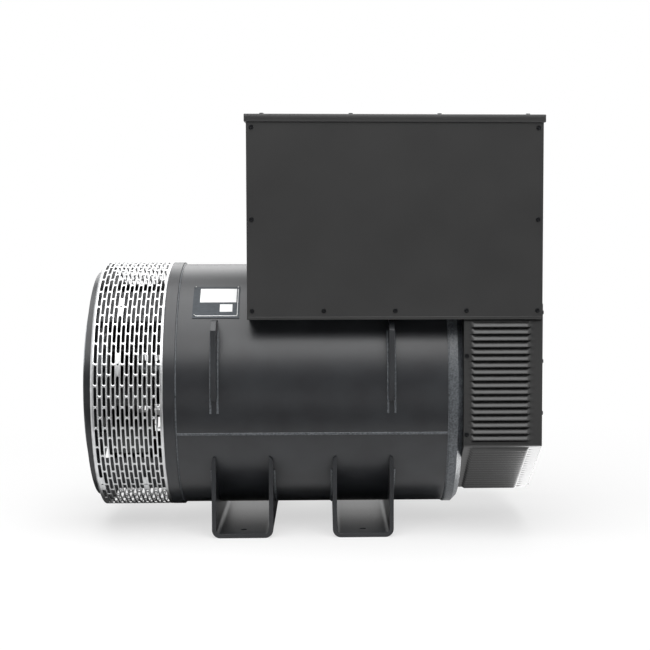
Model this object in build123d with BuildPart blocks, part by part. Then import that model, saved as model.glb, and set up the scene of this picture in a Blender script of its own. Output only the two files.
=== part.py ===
from build123d import *
from math import cos, radians, sin, sqrt, tan
import os

# Single-bearing generator end (alternator head).  The shaft runs along X; X = 0 is the face of the
# flywheel-housing flange, +X points to the non-drive end, Z is up and the shaft axis is Y = Z = 0.

# ---------------------------------------------------------------- engine interface
FLANGE_OD = 711.2            # SAE 0 flywheel housing
FLANGE_T = 21.0
FLANGE_PCD = 679.45
FLANGE_HOLE = 13.5
FLANGE_HOLES = 16
FLANGE_BORE = 610.0
PILOT_OD = 647.7
PILOT_L = 6.0
DISC_OD = 571.5              # SAE 18 drive discs
DISC_PCD = 542.9
DISC_HOLE = 16.7
DISC_HOLES = 6
DISC_T = 3.0
DISC_REACH = 15.7            # front of the discs ahead of the flange face

# ---------------------------------------------------------------- frame
TUBE_R = 381.0
TUBE_T = 9.5
TUBE_L = 820.0
SEAM_ANGLE = 17.8            # both long welds lie this far below the shaft's level
RING_R = 386.5
DE_RING_W = 33.5
DE_RING_BORE_R = 338.0
NDE_RING_R = 384.5
NDE_RING_W = 41.0
NDE_RING_CHAMFER = 16.0
BRACKET_SEAT_R = 350.0       # recess for the bearing bracket in the rear ring
BRACKET_LEDGE_R = 325.0
BRACKET_LEDGE_W = 16.0

# ---------------------------------------------------------------- adapter bars and outlet screen
SCREEN_L = 214.0
SCREEN_R = 386.0
SCREEN_T = 2.0
SCREEN_SEAT_W = 8.0
SCREEN_COLUMNS = 6
SCREEN_ROWS = 19
SLOT_W = 22.0
SLOT_PITCH = 33.0
SLOT_BRIDGE = 8.0
BAR_COUNT = 4
BAR_W = 120.0
BAR_T = 28.0
BAR_R = 354.0                # middle of the bars' thickness

# ---------------------------------------------------------------- feet and lifting lugs
SHAFT_HEIGHT = 438.15
FOOT_W = 185.0
FOOT_HALF_L = 333.0
FOOT_T = 12.7
FOOT_BEND_R = 25.4
FOOT_X = (465.0, 830.0)
FOOT_HOLE = 20.6
FOOT_HOLE_Y = 266.7
LUG_X = (385.0, 914.0)
LUG_T = 15.9
LUG_REACH = 397.0
LUG_BOTTOM = -13.0
LUG_TOP = 222.0
LUG_CHAMFER = 25.4
LUG_HOLE = 25.4
LUG_HOLE_INSET = 51.0
LUG_ROOT_R = 300.0

# ---------------------------------------------------------------- sheet-metal housing
SHEET_T = 3.0
SHROUD_L = 231.5
SHROUD_HALF_W = 390.0
SHROUD_KNEE = -153.0
SHROUD_BOTTOM = -333.0
SHROUD_SLOPE = 30.0
SHROUD_PLATE_BORE_R = 300.0
COVER_TOP = 273.0
LOUVRE_L = 178.0
LOUVRE_PITCH = 20.0
LOUVRE_SIDE_ROWS = 18
LOUVRE_SLOPE_ROWS = 17
LOUVRE_TOP_Z = 212.0
LOUVRE_INSET = 20.5          # from the housing's front edge to the louvres
LOUVRE_H = 14.0
LOUVRE_REACH = 8.0
BOX_L = 875.0
BOX_HALF_W = 400.0
BOX_BOTTOM = 228.0
BOX_TOP = 828.5
LID_DEPTH = 23.0
LID_OVERHANG = 6.0
BOX_RAIL_W = 30.0
SCREW_FLATS = 11.0
SCREW_HEAD_H = 3.5
LID_SCREWS = 4               # along each long edge
LID_SCREW_INSET = 45.0
LID_SCREW_EDGE = 15.0
COVER_SCREW_INSET = 15.0
COVER_SCREW_TOP = 36.0
COVER_SCREW_BOTTOM = 26.0
COVER_SCREW_ROWS = 3
COVER_SCREW_FOOT = 5         # along the bottom edge
SHROUD_HEM = 12.0
SHROUD_BOLT_Z = (118.0, -118.0)
SHROUD_BOLT_X = 8.0          # behind the housing's front edge
COVER_EDGE_Z = (247.0, 101.0, -55.0)

# ---------------------------------------------------------------- inside the conduit box
BOARD_X = (640.0, 900.0)
BOARD_HALF_W = 150.0
BOARD_Z = 440.0
BOARD_T = 25.0
BOARD_RAIL_W = 25.0
STUDS = 6
STUD_FLATS = 16.0
STUD_H = 45.0
REGULATOR_SIZE = (55.0, 150.0, 200.0)
REGULATOR_Z = 560.0

# ---------------------------------------------------------------- nameplate
PLATE_X = (316.0, 457.0)
PLATE_ANGLES = (36.5, 56.0)  # above the horizontal, on the -Y side
PLATE_T = 1.5

# ---------------------------------------------------------------- stator
CORE_X = 400.0
CORE_L = 460.0
CORE_OD = 660.0
CORE_BORE = 430.0
CORE_BAR_COUNT = 8
CORE_BAR_W = 50.0
END_TURN_L = 95.0
END_TURN_T = 78.0
END_TURN_BORE_R = 234.0

# ---------------------------------------------------------------- rotor
AIR_GAP = 3.0
SHAFT_R = 75.0
SHAFT_DE_R = 70.0
SHAFT_EXCITER_R = 60.0
SHAFT_NDE_R = 45.0
SHAFT_X0 = -9.0
HUB_FLANGE_R = 160.0
HUB_FLANGE_T = 30.0
HUB_BOSS_R = 110.0
HUB_END = 120.0
HUB_BOLTS = 8
HUB_BOLT_PCD = 270.0
HUB_BOLT_FLATS = 24.0
HUB_BOLT_HEAD = 10.0
DISC_BORE_R = 80.0
FAN_R = 330.0
FAN_PLATE_X = 60.0
FAN_PLATE_T = 6.0
FAN_W = 130.0
FAN_HUB_R = 145.0
FAN_EYE_R = 235.0
FAN_BLADES = 12
FAN_BLADE_T = 6.0
FAN_BLADE_ROOT_R = 190.0
POLE_W = 130.0
POLE_HUB_R = 110.0
POLE_SHOE_T = 17.0
POLE_SHOE_ANGLE = 70.0
POLES = 4
COIL_HALF_W = 100.0
COIL_HEIGHT = 48.0
COIL_OVERHANG = 35.0

# ---------------------------------------------------------------- exciter and bearing
RECTIFIER_X = 958.0
RECTIFIER_T = 22.0
RECTIFIER_R = 150.0
DIODES = 6
EXCITER_X = 990.0
EXCITER_L = 70.0
EXCITER_GAP_R = 140.0
EXCITER_OD = 432.0
EXCITER_GAP = 2.0
BEARING_BORE = 90.0
BEARING_OD = 190.0
BEARING_W = 43.0
RACE_T = 12.0
CAGE_L = 34.0
BEARING_X = 1083.0
BRACKET_HUB_R = 125.0
BRACKET_HUB_END = 1137.0
BRACKET_HUB_X = 1060.0
BRACKET_ARMS = 6
BRACKET_ARM_W = 44.0
BRACKET_RIM_W = 16.0
BRACKET_RIM_BORE_R = 305.0
BRACKET_ARM_R = 318.0
BRACKET_BOLTS = 8
BRACKET_BOLT_FLATS = 19.0
BRACKET_BOLT_HEAD = 8.0
SHAFT_END_GAP = 4.0          # between the shaft's end and the closed bearing housing

# ---------------------------------------------------------------- clearances
FIT = 0.05                   # radial fit of a part on its shaft or in its seat
WELD_FIT = 0.2               # between a plate and the tube it is welded to
COIL_PLAY = 0.5
CAGE_PLAY = 0.3              # between the ring of balls and each race

# ---------------------------------------------------------------- places along the shaft
SCREEN_X0 = FLANGE_T
DE_RING_X = FLANGE_T + SCREEN_L
TUBE_X0 = DE_RING_X + DE_RING_W
TUBE_X1 = TUBE_X0 + TUBE_L
NDE_X = TUBE_X1 + NDE_RING_W
SHROUD_X1 = NDE_X + SHROUD_L
BOX_X0 = SHROUD_X1 - BOX_L
DISC_X0 = -DISC_REACH
HUB_X0 = DISC_X0 + DISC_T
CORE_X1 = CORE_X + CORE_L
ROTOR_R = CORE_BORE / 2 - AIR_GAP
TUBE_BORE_R = TUBE_R - TUBE_T
SCREEN_SEAT_R = SCREEN_R - SCREEN_T
BEARING_X1 = BEARING_X + BEARING_W
BRACKET_X = TUBE_X1 + BRACKET_LEDGE_W
SHAFT_X1 = BEARING_X1
SLOPE_RUN = (SHROUD_KNEE - SHROUD_BOTTOM) / tan(radians(SHROUD_SLOPE))
SHROUD_BOTTOM_HALF_W = SHROUD_HALF_W - SLOPE_RUN

os.makedirs("parts", exist_ok=True)


def tube_section(outer, inner):
    """Ring across the shaft, for the sketch that is open."""
    Circle(outer)
    Circle(inner, mode=Mode.SUBTRACT)


def lower_wedge(reach=1000.0):
    """Everything below the two long welds, seen along the shaft."""
    side = (reach * cos(radians(SEAM_ANGLE)), -reach * sin(radians(SEAM_ANGLE)))
    return [(0, 0), side, (side[0], -reach), (-side[0], -reach), (-side[0], side[1])]


def save(built, name):
    built.part.label = name
    export_step(built.part, f"parts/{name}.step")


def revolved(profile):
    """A turned piece about the shaft from its (x, radius) outline."""
    with BuildPart() as turned:
        with BuildSketch(Plane.XZ):
            with BuildLine():
                Polyline(*profile, close=True)
            make_face()
        revolve(axis=Axis.X)
    return turned


def hex_head(across_flats, head_h):
    """A bolt head that faces +Z, seated at Z = 0."""
    with BuildPart() as head:
        with BuildSketch():
            RegularPolygon(across_flats / 2, 6, major_radius=False)
        extrude(amount=head_h)
    return head.part


def facing(x, y, z, out):
    """Where a head sits that faces the direction out."""
    return Plane(origin=(x, y, z), z_dir=out).location


# ================================================================ engine end
with BuildPart() as de_adapter:
    with BuildSketch(Plane.YZ):
        tube_section(FLANGE_OD / 2, FLANGE_BORE / 2)
    extrude(amount=FLANGE_T)
    with BuildSketch(Plane.YZ):
        tube_section(PILOT_OD / 2, FLANGE_BORE / 2)
    extrude(amount=-PILOT_L)
    # rim that the screen wraps round
    with BuildSketch(Plane.YZ.offset(FLANGE_T)):
        tube_section(SCREEN_SEAT_R, FLANGE_BORE / 2)
    extrude(amount=SCREEN_SEAT_W)
    with BuildSketch(Plane.YZ):
        with PolarLocations(FLANGE_PCD / 2, FLANGE_HOLES, start_angle=180 / FLANGE_HOLES):
            Circle(FLANGE_HOLE / 2)
    extrude(amount=FLANGE_T + SCREEN_SEAT_W, mode=Mode.SUBTRACT)
save(de_adapter, "de_adapter")

# broad bars that carry the flange on the frame
with BuildPart() as adapter_bars:
    with BuildSketch(Plane.YZ.offset(FLANGE_T + SCREEN_SEAT_W)):
        with PolarLocations(BAR_R, BAR_COUNT, start_angle=180 / BAR_COUNT):
            Rectangle(BAR_T, BAR_W)
    extrude(amount=SCREEN_L - SCREEN_SEAT_W)
save(adapter_bars, "adapter_bars")

with BuildPart() as outlet_screen:
    with BuildSketch(Plane.YZ.offset(SCREEN_X0)):
        tube_section(SCREEN_R, SCREEN_SEAT_R + FIT)
    extrude(amount=SCREEN_L)
    first_column = SCREEN_X0 + (SCREEN_L - (SCREEN_COLUMNS - 1) * SLOT_PITCH) / 2
    row_angle = 360 / SCREEN_ROWS
    slot_l = SCREEN_R * radians(row_angle) - SLOT_BRIDGE
    for column in range(SCREEN_COLUMNS):
        turn = 180 + row_angle / 2 * (column % 2)
        with Locations((first_column + column * SLOT_PITCH, 0, 0)):
            with Locations(Plane.YZ.location):
                with PolarLocations(SCREEN_R, SCREEN_ROWS, start_angle=turn):
                    Box(6 * SCREEN_T, slot_l, SLOT_W, mode=Mode.SUBTRACT)
save(outlet_screen, "outlet_screen")

# ================================================================ frame
with BuildPart() as frame_de_ring:
    with BuildSketch(Plane.YZ.offset(DE_RING_X)):
        tube_section(RING_R, DE_RING_BORE_R)
    extrude(amount=DE_RING_W)
    with BuildSketch(Plane.YZ.offset(DE_RING_X)):
        tube_section(SCREEN_SEAT_R, SCREEN_SEAT_R - 8)
    extrude(amount=-SCREEN_SEAT_W)
save(frame_de_ring, "frame_de_ring")

with BuildPart() as frame_shell_upper:
    with BuildSketch(Plane.YZ.offset(TUBE_X0)):
        tube_section(TUBE_R, TUBE_BORE_R)
        Polygon(*lower_wedge(), align=None, mode=Mode.SUBTRACT)
    extrude(amount=TUBE_L)
save(frame_shell_upper, "frame_shell_upper")

with BuildPart() as frame_shell_lower:
    with BuildSketch(Plane.YZ.offset(TUBE_X0)):
        tube_section(TUBE_R, TUBE_BORE_R)
        Polygon(*lower_wedge(), align=None, mode=Mode.INTERSECT)
    extrude(amount=TUBE_L)
save(frame_shell_lower, "frame_shell_lower")

frame_nde_ring = revolved([
    (TUBE_X1, BRACKET_LEDGE_R),
    (BRACKET_X, BRACKET_LEDGE_R),
    (BRACKET_X, BRACKET_SEAT_R),
    (NDE_X, BRACKET_SEAT_R),
    (NDE_X, NDE_RING_R - NDE_RING_CHAMFER),
    (NDE_X - NDE_RING_CHAMFER, NDE_RING_R),
    (TUBE_X1, NDE_RING_R),
])
save(frame_nde_ring, "frame_nde_ring")


def foot(x_mid):
    """A channel bent from plate, open upwards, that runs across under the tube."""
    leg_top = -sqrt(TUBE_R ** 2 - FOOT_HALF_L ** 2)
    height = SHAFT_HEIGHT + leg_top
    with BuildPart() as channel:
        with BuildSketch(Plane.XZ.offset(-FOOT_HALF_L)):
            with Locations((x_mid, -SHAFT_HEIGHT)):
                outside = Rectangle(FOOT_W, height, align=(Align.CENTER, Align.MIN))
            fillet(outside.vertices().group_by(Axis.Z)[0], FOOT_BEND_R)
        extrude(amount=2 * FOOT_HALF_L)
        with BuildSketch(Plane.XZ.offset(-FOOT_HALF_L)):
            with Locations((x_mid, -SHAFT_HEIGHT + FOOT_T)):
                inside = Rectangle(FOOT_W - 2 * FOOT_T, height, align=(Align.CENTER, Align.MIN))
            fillet(inside.vertices().group_by(Axis.Z)[0], FOOT_BEND_R - FOOT_T)
        extrude(amount=2 * FOOT_HALF_L, mode=Mode.SUBTRACT)
        with BuildSketch(Plane.YZ.offset(x_mid - FOOT_W)):
            Circle(TUBE_R + WELD_FIT)
        extrude(amount=2 * FOOT_W, mode=Mode.SUBTRACT)
        with Locations((x_mid, FOOT_HOLE_Y, -SHAFT_HEIGHT), (x_mid, -FOOT_HOLE_Y, -SHAFT_HEIGHT)):
            Cylinder(FOOT_HOLE / 2, 3 * FOOT_T, mode=Mode.SUBTRACT)
    return channel


for name, x_mid in zip(("foot_de", "foot_nde"), FOOT_X):
    save(foot(x_mid), name)

with BuildPart() as lifting_lugs:
    for x_mid in LUG_X:
        for side in (-1, 1):
            with BuildSketch(Plane.YZ.offset(x_mid - LUG_T / 2)):
                Polygon(
                    (side * LUG_ROOT_R, LUG_BOTTOM),
                    (side * LUG_REACH, LUG_BOTTOM),
                    (side * LUG_REACH, LUG_TOP - LUG_CHAMFER),
                    (side * (LUG_REACH - LUG_CHAMFER), LUG_TOP),
                    (side * LUG_ROOT_R, LUG_TOP),
                    align=None,
                )
                Circle(TUBE_R + WELD_FIT, mode=Mode.SUBTRACT)
                with Locations((side * (LUG_REACH - LUG_CHAMFER), LUG_TOP - LUG_HOLE_INSET)):
                    Circle(LUG_HOLE / 2, mode=Mode.SUBTRACT)
            extrude(amount=LUG_T)
save(lifting_lugs, "lifting_lugs")

with BuildPart() as nameplate:
    low, high = (180 - angle for angle in PLATE_ANGLES)
    with BuildSketch(Plane.YZ.offset(PLATE_X[0])):
        tube_section(TUBE_R + WELD_FIT + PLATE_T, TUBE_R + WELD_FIT)
        reach = 2 * TUBE_R
        Polygon(
            (0, 0),
            (reach * cos(radians(low)), reach * sin(radians(low))),
            (reach * cos(radians(high)), reach * sin(radians(high))),
            align=None,
            mode=Mode.INTERSECT,
        )
    extrude(amount=PLATE_X[1] - PLATE_X[0])
save(nameplate, "nameplate")

# ================================================================ stator
with BuildPart() as stator_core:
    with BuildSketch(Plane.YZ.offset(CORE_X)):
        tube_section(CORE_OD / 2, CORE_BORE / 2)
    extrude(amount=CORE_L)
save(stator_core, "stator_core")

with BuildPart() as stator_core_bars:
    with BuildSketch(Plane.YZ.offset(CORE_X)):
        with PolarLocations((CORE_OD / 2 + TUBE_BORE_R) / 2, CORE_BAR_COUNT, start_angle=180 / CORE_BAR_COUNT):
            Rectangle(TUBE_R - CORE_OD / 2 + 40, CORE_BAR_W)
        Circle(TUBE_BORE_R - WELD_FIT, mode=Mode.INTERSECT)
        Circle(CORE_OD / 2 + WELD_FIT, mode=Mode.SUBTRACT)
    extrude(amount=CORE_L)
save(stator_core_bars, "stator_core_bars")

with BuildPart() as stator_winding:
    for x0 in (CORE_X - END_TURN_L, CORE_X1):
        with BuildSketch(Plane.YZ.offset(x0)):
            tube_section(END_TURN_BORE_R + END_TURN_T, END_TURN_BORE_R)
        extrude(amount=END_TURN_L)
save(stator_winding, "stator_winding")

# ================================================================ rotor
rotor_shaft = revolved([
    (SHAFT_X0, 0),
    (SHAFT_X0, SHAFT_DE_R),
    (CORE_X - 10, SHAFT_DE_R),
    (CORE_X - 10, SHAFT_R),
    (CORE_X1 + 10, SHAFT_R),
    (CORE_X1 + 10, SHAFT_EXCITER_R),
    (BEARING_X, SHAFT_EXCITER_R),
    (BEARING_X, SHAFT_NDE_R),
    (SHAFT_X1, SHAFT_NDE_R),
    (SHAFT_X1, 0),
])
save(rotor_shaft, "rotor_shaft")

drive_hub = revolved([
    (HUB_X0, SHAFT_DE_R + FIT),
    (HUB_X0, HUB_FLANGE_R),
    (HUB_X0 + HUB_FLANGE_T, HUB_FLANGE_R),
    (HUB_X0 + HUB_FLANGE_T, HUB_BOSS_R),
    (HUB_END, HUB_BOSS_R),
    (HUB_END, SHAFT_DE_R + FIT),
])
save(drive_hub, "drive_hub")

with BuildPart() as drive_discs:
    with BuildSketch(Plane.YZ.offset(DISC_X0)):
        tube_section(DISC_OD / 2, DISC_BORE_R)
        with PolarLocations(DISC_PCD / 2, DISC_HOLES):
            Circle(DISC_HOLE / 2, mode=Mode.SUBTRACT)
    extrude(amount=DISC_T)
save(drive_discs, "drive_discs")

with BuildPart() as disc_bolts:
    with Locations(facing(DISC_X0, 0, 0, (-1, 0, 0))):
        with PolarLocations(HUB_BOLT_PCD / 2, HUB_BOLTS):
            add(hex_head(HUB_BOLT_FLATS, HUB_BOLT_HEAD))
save(disc_bolts, "disc_bolts")

with BuildPart() as fan:
    with BuildSketch(Plane.YZ.offset(FAN_PLATE_X)):
        tube_section(FAN_R, HUB_BOSS_R + FIT)
    extrude(amount=FAN_PLATE_T)
    with BuildSketch(Plane.YZ.offset(FAN_PLATE_X)):
        tube_section(FAN_HUB_R, HUB_BOSS_R + FIT)
    extrude(amount=HUB_END - FAN_PLATE_X)
    with BuildSketch(Plane.YZ.offset(FAN_PLATE_X)):
        with PolarLocations((FAN_BLADE_ROOT_R + FAN_R) / 2, FAN_BLADES):
            Rectangle(FAN_R - FAN_BLADE_ROOT_R - 8, FAN_BLADE_T, rotation=30)
    extrude(amount=FAN_W)
    with BuildSketch(Plane.YZ.offset(FAN_PLATE_X + FAN_W - FAN_PLATE_T)):
        tube_section(FAN_R, FAN_EYE_R)
    extrude(amount=FAN_PLATE_T)
save(fan, "fan")

with BuildPart() as rotor_core:
    with BuildSketch(Plane.YZ.offset(CORE_X)):
        shoe_half = POLE_SHOE_ANGLE / 2
        for pole in range(POLES):
            turn = 45 + 360 / POLES * pole
            far = 2 * ROTOR_R
            Polygon(
                (0, 0),
                (far * cos(radians(turn - shoe_half)), far * sin(radians(turn - shoe_half))),
                (far * cos(radians(turn + shoe_half)), far * sin(radians(turn + shoe_half))),
                align=None,
            )
        Circle(ROTOR_R, mode=Mode.INTERSECT)
        Circle(ROTOR_R - POLE_SHOE_T, mode=Mode.SUBTRACT)
        Circle(POLE_HUB_R)
        with PolarLocations(ROTOR_R / 2 - 4, POLES, start_angle=45):
            Rectangle(ROTOR_R - 8, POLE_W)
        Circle(SHAFT_R + FIT, mode=Mode.SUBTRACT)
    extrude(amount=CORE_L)
save(rotor_core, "rotor_core")

with BuildPart() as field_coils:
    coil_base = POLE_HUB_R + 2
    coil_x0 = CORE_X - COIL_OVERHANG
    coil_l = CORE_L + 2 * COIL_OVERHANG
    with Locations((coil_x0 + coil_l / 2, 0, 0)):
        with Locations(Plane.YZ.location):
            with PolarLocations(coil_base + COIL_HEIGHT / 2, POLES, start_angle=45):
                Box(COIL_HEIGHT, 2 * COIL_HALF_W, coil_l)
                Box(2 * COIL_HEIGHT, POLE_W + 2 * COIL_PLAY, CORE_L + 2 * COIL_PLAY, mode=Mode.SUBTRACT)
save(field_coils, "field_coils")

# ================================================================ exciter and rectifier
with BuildPart() as rectifier_wheel:
    with BuildSketch(Plane.YZ.offset(RECTIFIER_X)):
        tube_section(RECTIFIER_R, SHAFT_EXCITER_R + FIT)
    extrude(amount=RECTIFIER_T / 2)
    with BuildSketch(Plane.YZ.offset(RECTIFIER_X)):
        with PolarLocations((RECTIFIER_R + SHAFT_EXCITER_R) / 2, DIODES):
            RegularPolygon(16, 6)
    extrude(amount=RECTIFIER_T)
save(rectifier_wheel, "rectifier_wheel")

with BuildPart() as exciter_armature:
    with BuildSketch(Plane.YZ.offset(EXCITER_X)):
        tube_section(EXCITER_GAP_R - EXCITER_GAP, SHAFT_EXCITER_R + FIT)
    extrude(amount=EXCITER_L)
save(exciter_armature, "exciter_armature")

with BuildPart() as exciter_stator:
    with BuildSketch(Plane.YZ.offset(EXCITER_X)):
        tube_section(EXCITER_OD / 2, EXCITER_GAP_R)
    extrude(amount=EXCITER_L)
save(exciter_stator, "exciter_stator")

# ================================================================ bearing bracket and bearing
with BuildPart() as nde_bracket:
    with BuildSketch(Plane.YZ.offset(BRACKET_X)):
        tube_section(BRACKET_SEAT_R - WELD_FIT, BRACKET_RIM_BORE_R)
    extrude(amount=BRACKET_RIM_W)
    with BuildSketch(Plane.YZ.offset(BRACKET_HUB_X)):
        with PolarLocations((BRACKET_ARM_R + BRACKET_HUB_R) / 2, BRACKET_ARMS, start_angle=15):
            Rectangle(BRACKET_ARM_R - BRACKET_HUB_R + 10, BRACKET_ARM_W)
    extrude(amount=BRACKET_X + BRACKET_RIM_W - BRACKET_HUB_X)
    with BuildSketch(Plane.YZ.offset(BEARING_X - 5)):
        Circle(BRACKET_HUB_R)
    extrude(amount=BRACKET_HUB_END - BEARING_X + 5)
    with BuildSketch(Plane.YZ.offset(BRACKET_HUB_X)):
        Circle(BEARING_OD / 2 + FIT)
    extrude(amount=BEARING_X1 + SHAFT_END_GAP - BRACKET_HUB_X, mode=Mode.SUBTRACT)
save(nde_bracket, "nde_bracket")

with BuildPart() as nde_bracket_bolts:
    with Locations(facing(BRACKET_X + BRACKET_RIM_W, 0, 0, (1, 0, 0))):
        with PolarLocations((BRACKET_SEAT_R + BRACKET_LEDGE_R) / 2, BRACKET_BOLTS):
            add(hex_head(BRACKET_BOLT_FLATS, BRACKET_BOLT_HEAD))
save(nde_bracket_bolts, "nde_bracket_bolts")

with BuildPart() as bearing_outer_race:
    with BuildSketch(Plane.YZ.offset(BEARING_X)):
        tube_section(BEARING_OD / 2, BEARING_OD / 2 - RACE_T)
    extrude(amount=BEARING_W)
save(bearing_outer_race, "bearing_outer_race")

with BuildPart() as bearing_inner_race:
    with BuildSketch(Plane.YZ.offset(BEARING_X)):
        tube_section(BEARING_BORE / 2 + RACE_T, BEARING_BORE / 2 + FIT)
    extrude(amount=BEARING_W)
save(bearing_inner_race, "bearing_inner_race")

with BuildPart() as bearing_cage:
    with BuildSketch(Plane.YZ.offset(BEARING_X + (BEARING_W - CAGE_L) / 2)):
        tube_section(BEARING_OD / 2 - RACE_T - CAGE_PLAY, BEARING_BORE / 2 + RACE_T + CAGE_PLAY)
    extrude(amount=CAGE_L)
save(bearing_cage, "bearing_cage")


# ================================================================ louvred air inlet housing
def housing_outline(inset, top):
    """The housing's outline across the shaft, with its walls moved in by inset."""
    knee = inset * tan(radians(90 - SHROUD_SLOPE) / 2)
    foot_shift = inset * tan(radians(SHROUD_SLOPE) / 2)
    half_w = SHROUD_HALF_W - inset
    low_w = SHROUD_BOTTOM_HALF_W - foot_shift
    return [
        (-half_w, top),
        (-half_w, SHROUD_KNEE + knee),
        (-low_w, SHROUD_BOTTOM + inset),
        (low_w, SHROUD_BOTTOM + inset),
        (half_w, SHROUD_KNEE + knee),
        (half_w, top),
    ]


def louvre_side(side):
    """Vertical wall and slanted wall bent from one sheet, with hoods open downwards."""
    outer = housing_outline(0, BOX_BOTTOM)[:3]
    inner = housing_outline(SHEET_T, BOX_BOTTOM)[:3]
    louvre_x = NDE_X + LOUVRE_INSET
    slope = Vector(outer[2][0] - outer[1][0], outer[2][1] - outer[1][1])
    slope_dir = slope.normalized()
    slope_out = Vector(slope_dir.Y, -slope_dir.X) * -1
    if slope_out.Y > 0:
        slope_out = slope_out * -1
    slope_start = (slope.length - (LOUVRE_SLOPE_ROWS - 1) * LOUVRE_PITCH) / 2
    rows = [(Vector(outer[0][0], LOUVRE_TOP_Z - LOUVRE_PITCH * row), Vector(0, -1), Vector(-1, 0))
            for row in range(LOUVRE_SIDE_ROWS)]
    rows += [(Vector(*outer[1]) + slope_dir * (slope_start + LOUVRE_PITCH * row), slope_dir, slope_out)
             for row in range(LOUVRE_SLOPE_ROWS)]
    with BuildPart() as panel:
        with BuildSketch(Plane.YZ.offset(NDE_X)):
            Polygon(*outer, *reversed(inner), align=None)
        extrude(amount=SHROUD_L)
        with BuildSketch(Plane.YZ.offset(louvre_x)):
            for middle, down, out in rows:
                start, end = middle - down * (LOUVRE_H / 2), middle + down * (LOUVRE_H / 2)
                corners = [start + out, start - out * 2 * SHEET_T, end - out * 2 * SHEET_T, end + out]
                Polygon(*[(corner.X, corner.Y) for corner in corners], align=None)
        extrude(amount=LOUVRE_L, mode=Mode.SUBTRACT)
        with BuildSketch(Plane.YZ.offset(louvre_x)):
            for middle, down, out in rows:
                start, end = middle - down * (LOUVRE_H / 2), middle + down * (LOUVRE_H / 2)
                tip = end + out * LOUVRE_REACH
                corners = [start - down * 0.5, tip, tip - out * SHEET_T, start - out * SHEET_T - down * 0.5]
                Polygon(*[(corner.X, corner.Y) for corner in corners], align=None)
        extrude(amount=LOUVRE_L)
        if side > 0:
            mirror(about=Plane.XZ, mode=Mode.REPLACE)
    return panel


for name, side in (("shroud_side_front", -1), ("shroud_side_rear", 1)):
    save(louvre_side(side), name)

with BuildPart() as shroud_bottom:
    with BuildSketch(Plane.YZ.offset(NDE_X)):
        low_outer = housing_outline(0, BOX_BOTTOM)[2:4]
        low_inner = housing_outline(SHEET_T, BOX_BOTTOM)[2:4]
        Polygon(*low_outer, *reversed(low_inner), align=None)
    extrude(amount=SHROUD_L)
save(shroud_bottom, "shroud_bottom")

with BuildPart() as shroud_back_plate:
    with BuildSketch(Plane.YZ.offset(NDE_X)):
        Polygon(*housing_outline(SHEET_T, BOX_BOTTOM), align=None)
        Circle(SHROUD_PLATE_BORE_R, mode=Mode.SUBTRACT)
    extrude(amount=SHEET_T)
save(shroud_back_plate, "shroud_back_plate")

with BuildPart() as shroud_end_cover:
    with BuildSketch(Plane.YZ.offset(SHROUD_X1)):
        Polygon(*housing_outline(0, COVER_TOP), align=None)
    extrude(amount=SHEET_T)
save(shroud_end_cover, "shroud_end_cover")

# ================================================================ conduit box
box_mid_x = BOX_X0 + BOX_L / 2
box_h = BOX_TOP - BOX_BOTTOM
box_mid_z = (BOX_TOP + BOX_BOTTOM) / 2

for name, x0 in (("box_de_panel", BOX_X0), ("box_nde_panel", SHROUD_X1 - SHEET_T)):
    with BuildPart() as end_panel:
        with BuildSketch(Plane.YZ.offset(x0)):
            with Locations((0, box_mid_z)):
                Rectangle(2 * BOX_HALF_W, box_h)
            if x0 < NDE_X:
                Circle(TUBE_R + WELD_FIT, mode=Mode.SUBTRACT)
        extrude(amount=SHEET_T)
    save(end_panel, name)

for name, side in (("box_front_cover", -1), ("box_rear_cover", 1)):
    with BuildPart() as long_cover:
        with Locations((box_mid_x, side * (BOX_HALF_W - SHEET_T / 2), box_mid_z)):
            Box(BOX_L - 2 * SHEET_T, SHEET_T, box_h)
    save(long_cover, name)

with BuildPart() as box_floor:
    with BuildSketch(Plane.XY.offset(BOX_BOTTOM)):
        with Locations((box_mid_x, 0)):
            Rectangle(BOX_L - 2 * SHEET_T, 2 * (BOX_HALF_W - SHEET_T))
    extrude(amount=SHEET_T)
    with BuildSketch(Plane.YZ.offset(BOX_X0)):
        Circle(NDE_RING_R + WELD_FIT)
    extrude(amount=NDE_X - BOX_X0, mode=Mode.SUBTRACT)
save(box_floor, "box_floor")

frame_l = BOX_L - 2 * SHEET_T
frame_half_w = BOX_HALF_W - SHEET_T
frame_z0 = BOX_BOTTOM + SHEET_T
frame_h = BOX_TOP - frame_z0
with BuildPart() as box_frame:
    # angle posts in the corners
    with BuildSketch(Plane.XY.offset(frame_z0)):
        with Locations((box_mid_x, 0)):
            with GridLocations(frame_l - BOX_RAIL_W, 2 * frame_half_w - BOX_RAIL_W, 2, 2):
                Rectangle(BOX_RAIL_W, BOX_RAIL_W)
            Rectangle(frame_l - 2 * SHEET_T, 2 * (frame_half_w - SHEET_T), mode=Mode.SUBTRACT)
    extrude(amount=frame_h)
    # flat rails between the posts, under the lid
    rail_l = frame_l - 2 * BOX_RAIL_W - 2 * WELD_FIT
    rail_w = 2 * frame_half_w - 2 * BOX_RAIL_W - 2 * WELD_FIT
    with Locations((box_mid_x, 0, BOX_TOP - BOX_RAIL_W / 2)):
        with GridLocations(0, 2 * frame_half_w - SHEET_T, 1, 2):
            Box(rail_l, SHEET_T, BOX_RAIL_W)
        with GridLocations(frame_l - SHEET_T, 0, 2, 1):
            Box(SHEET_T, rail_w, BOX_RAIL_W)
save(box_frame, "box_frame")

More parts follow.
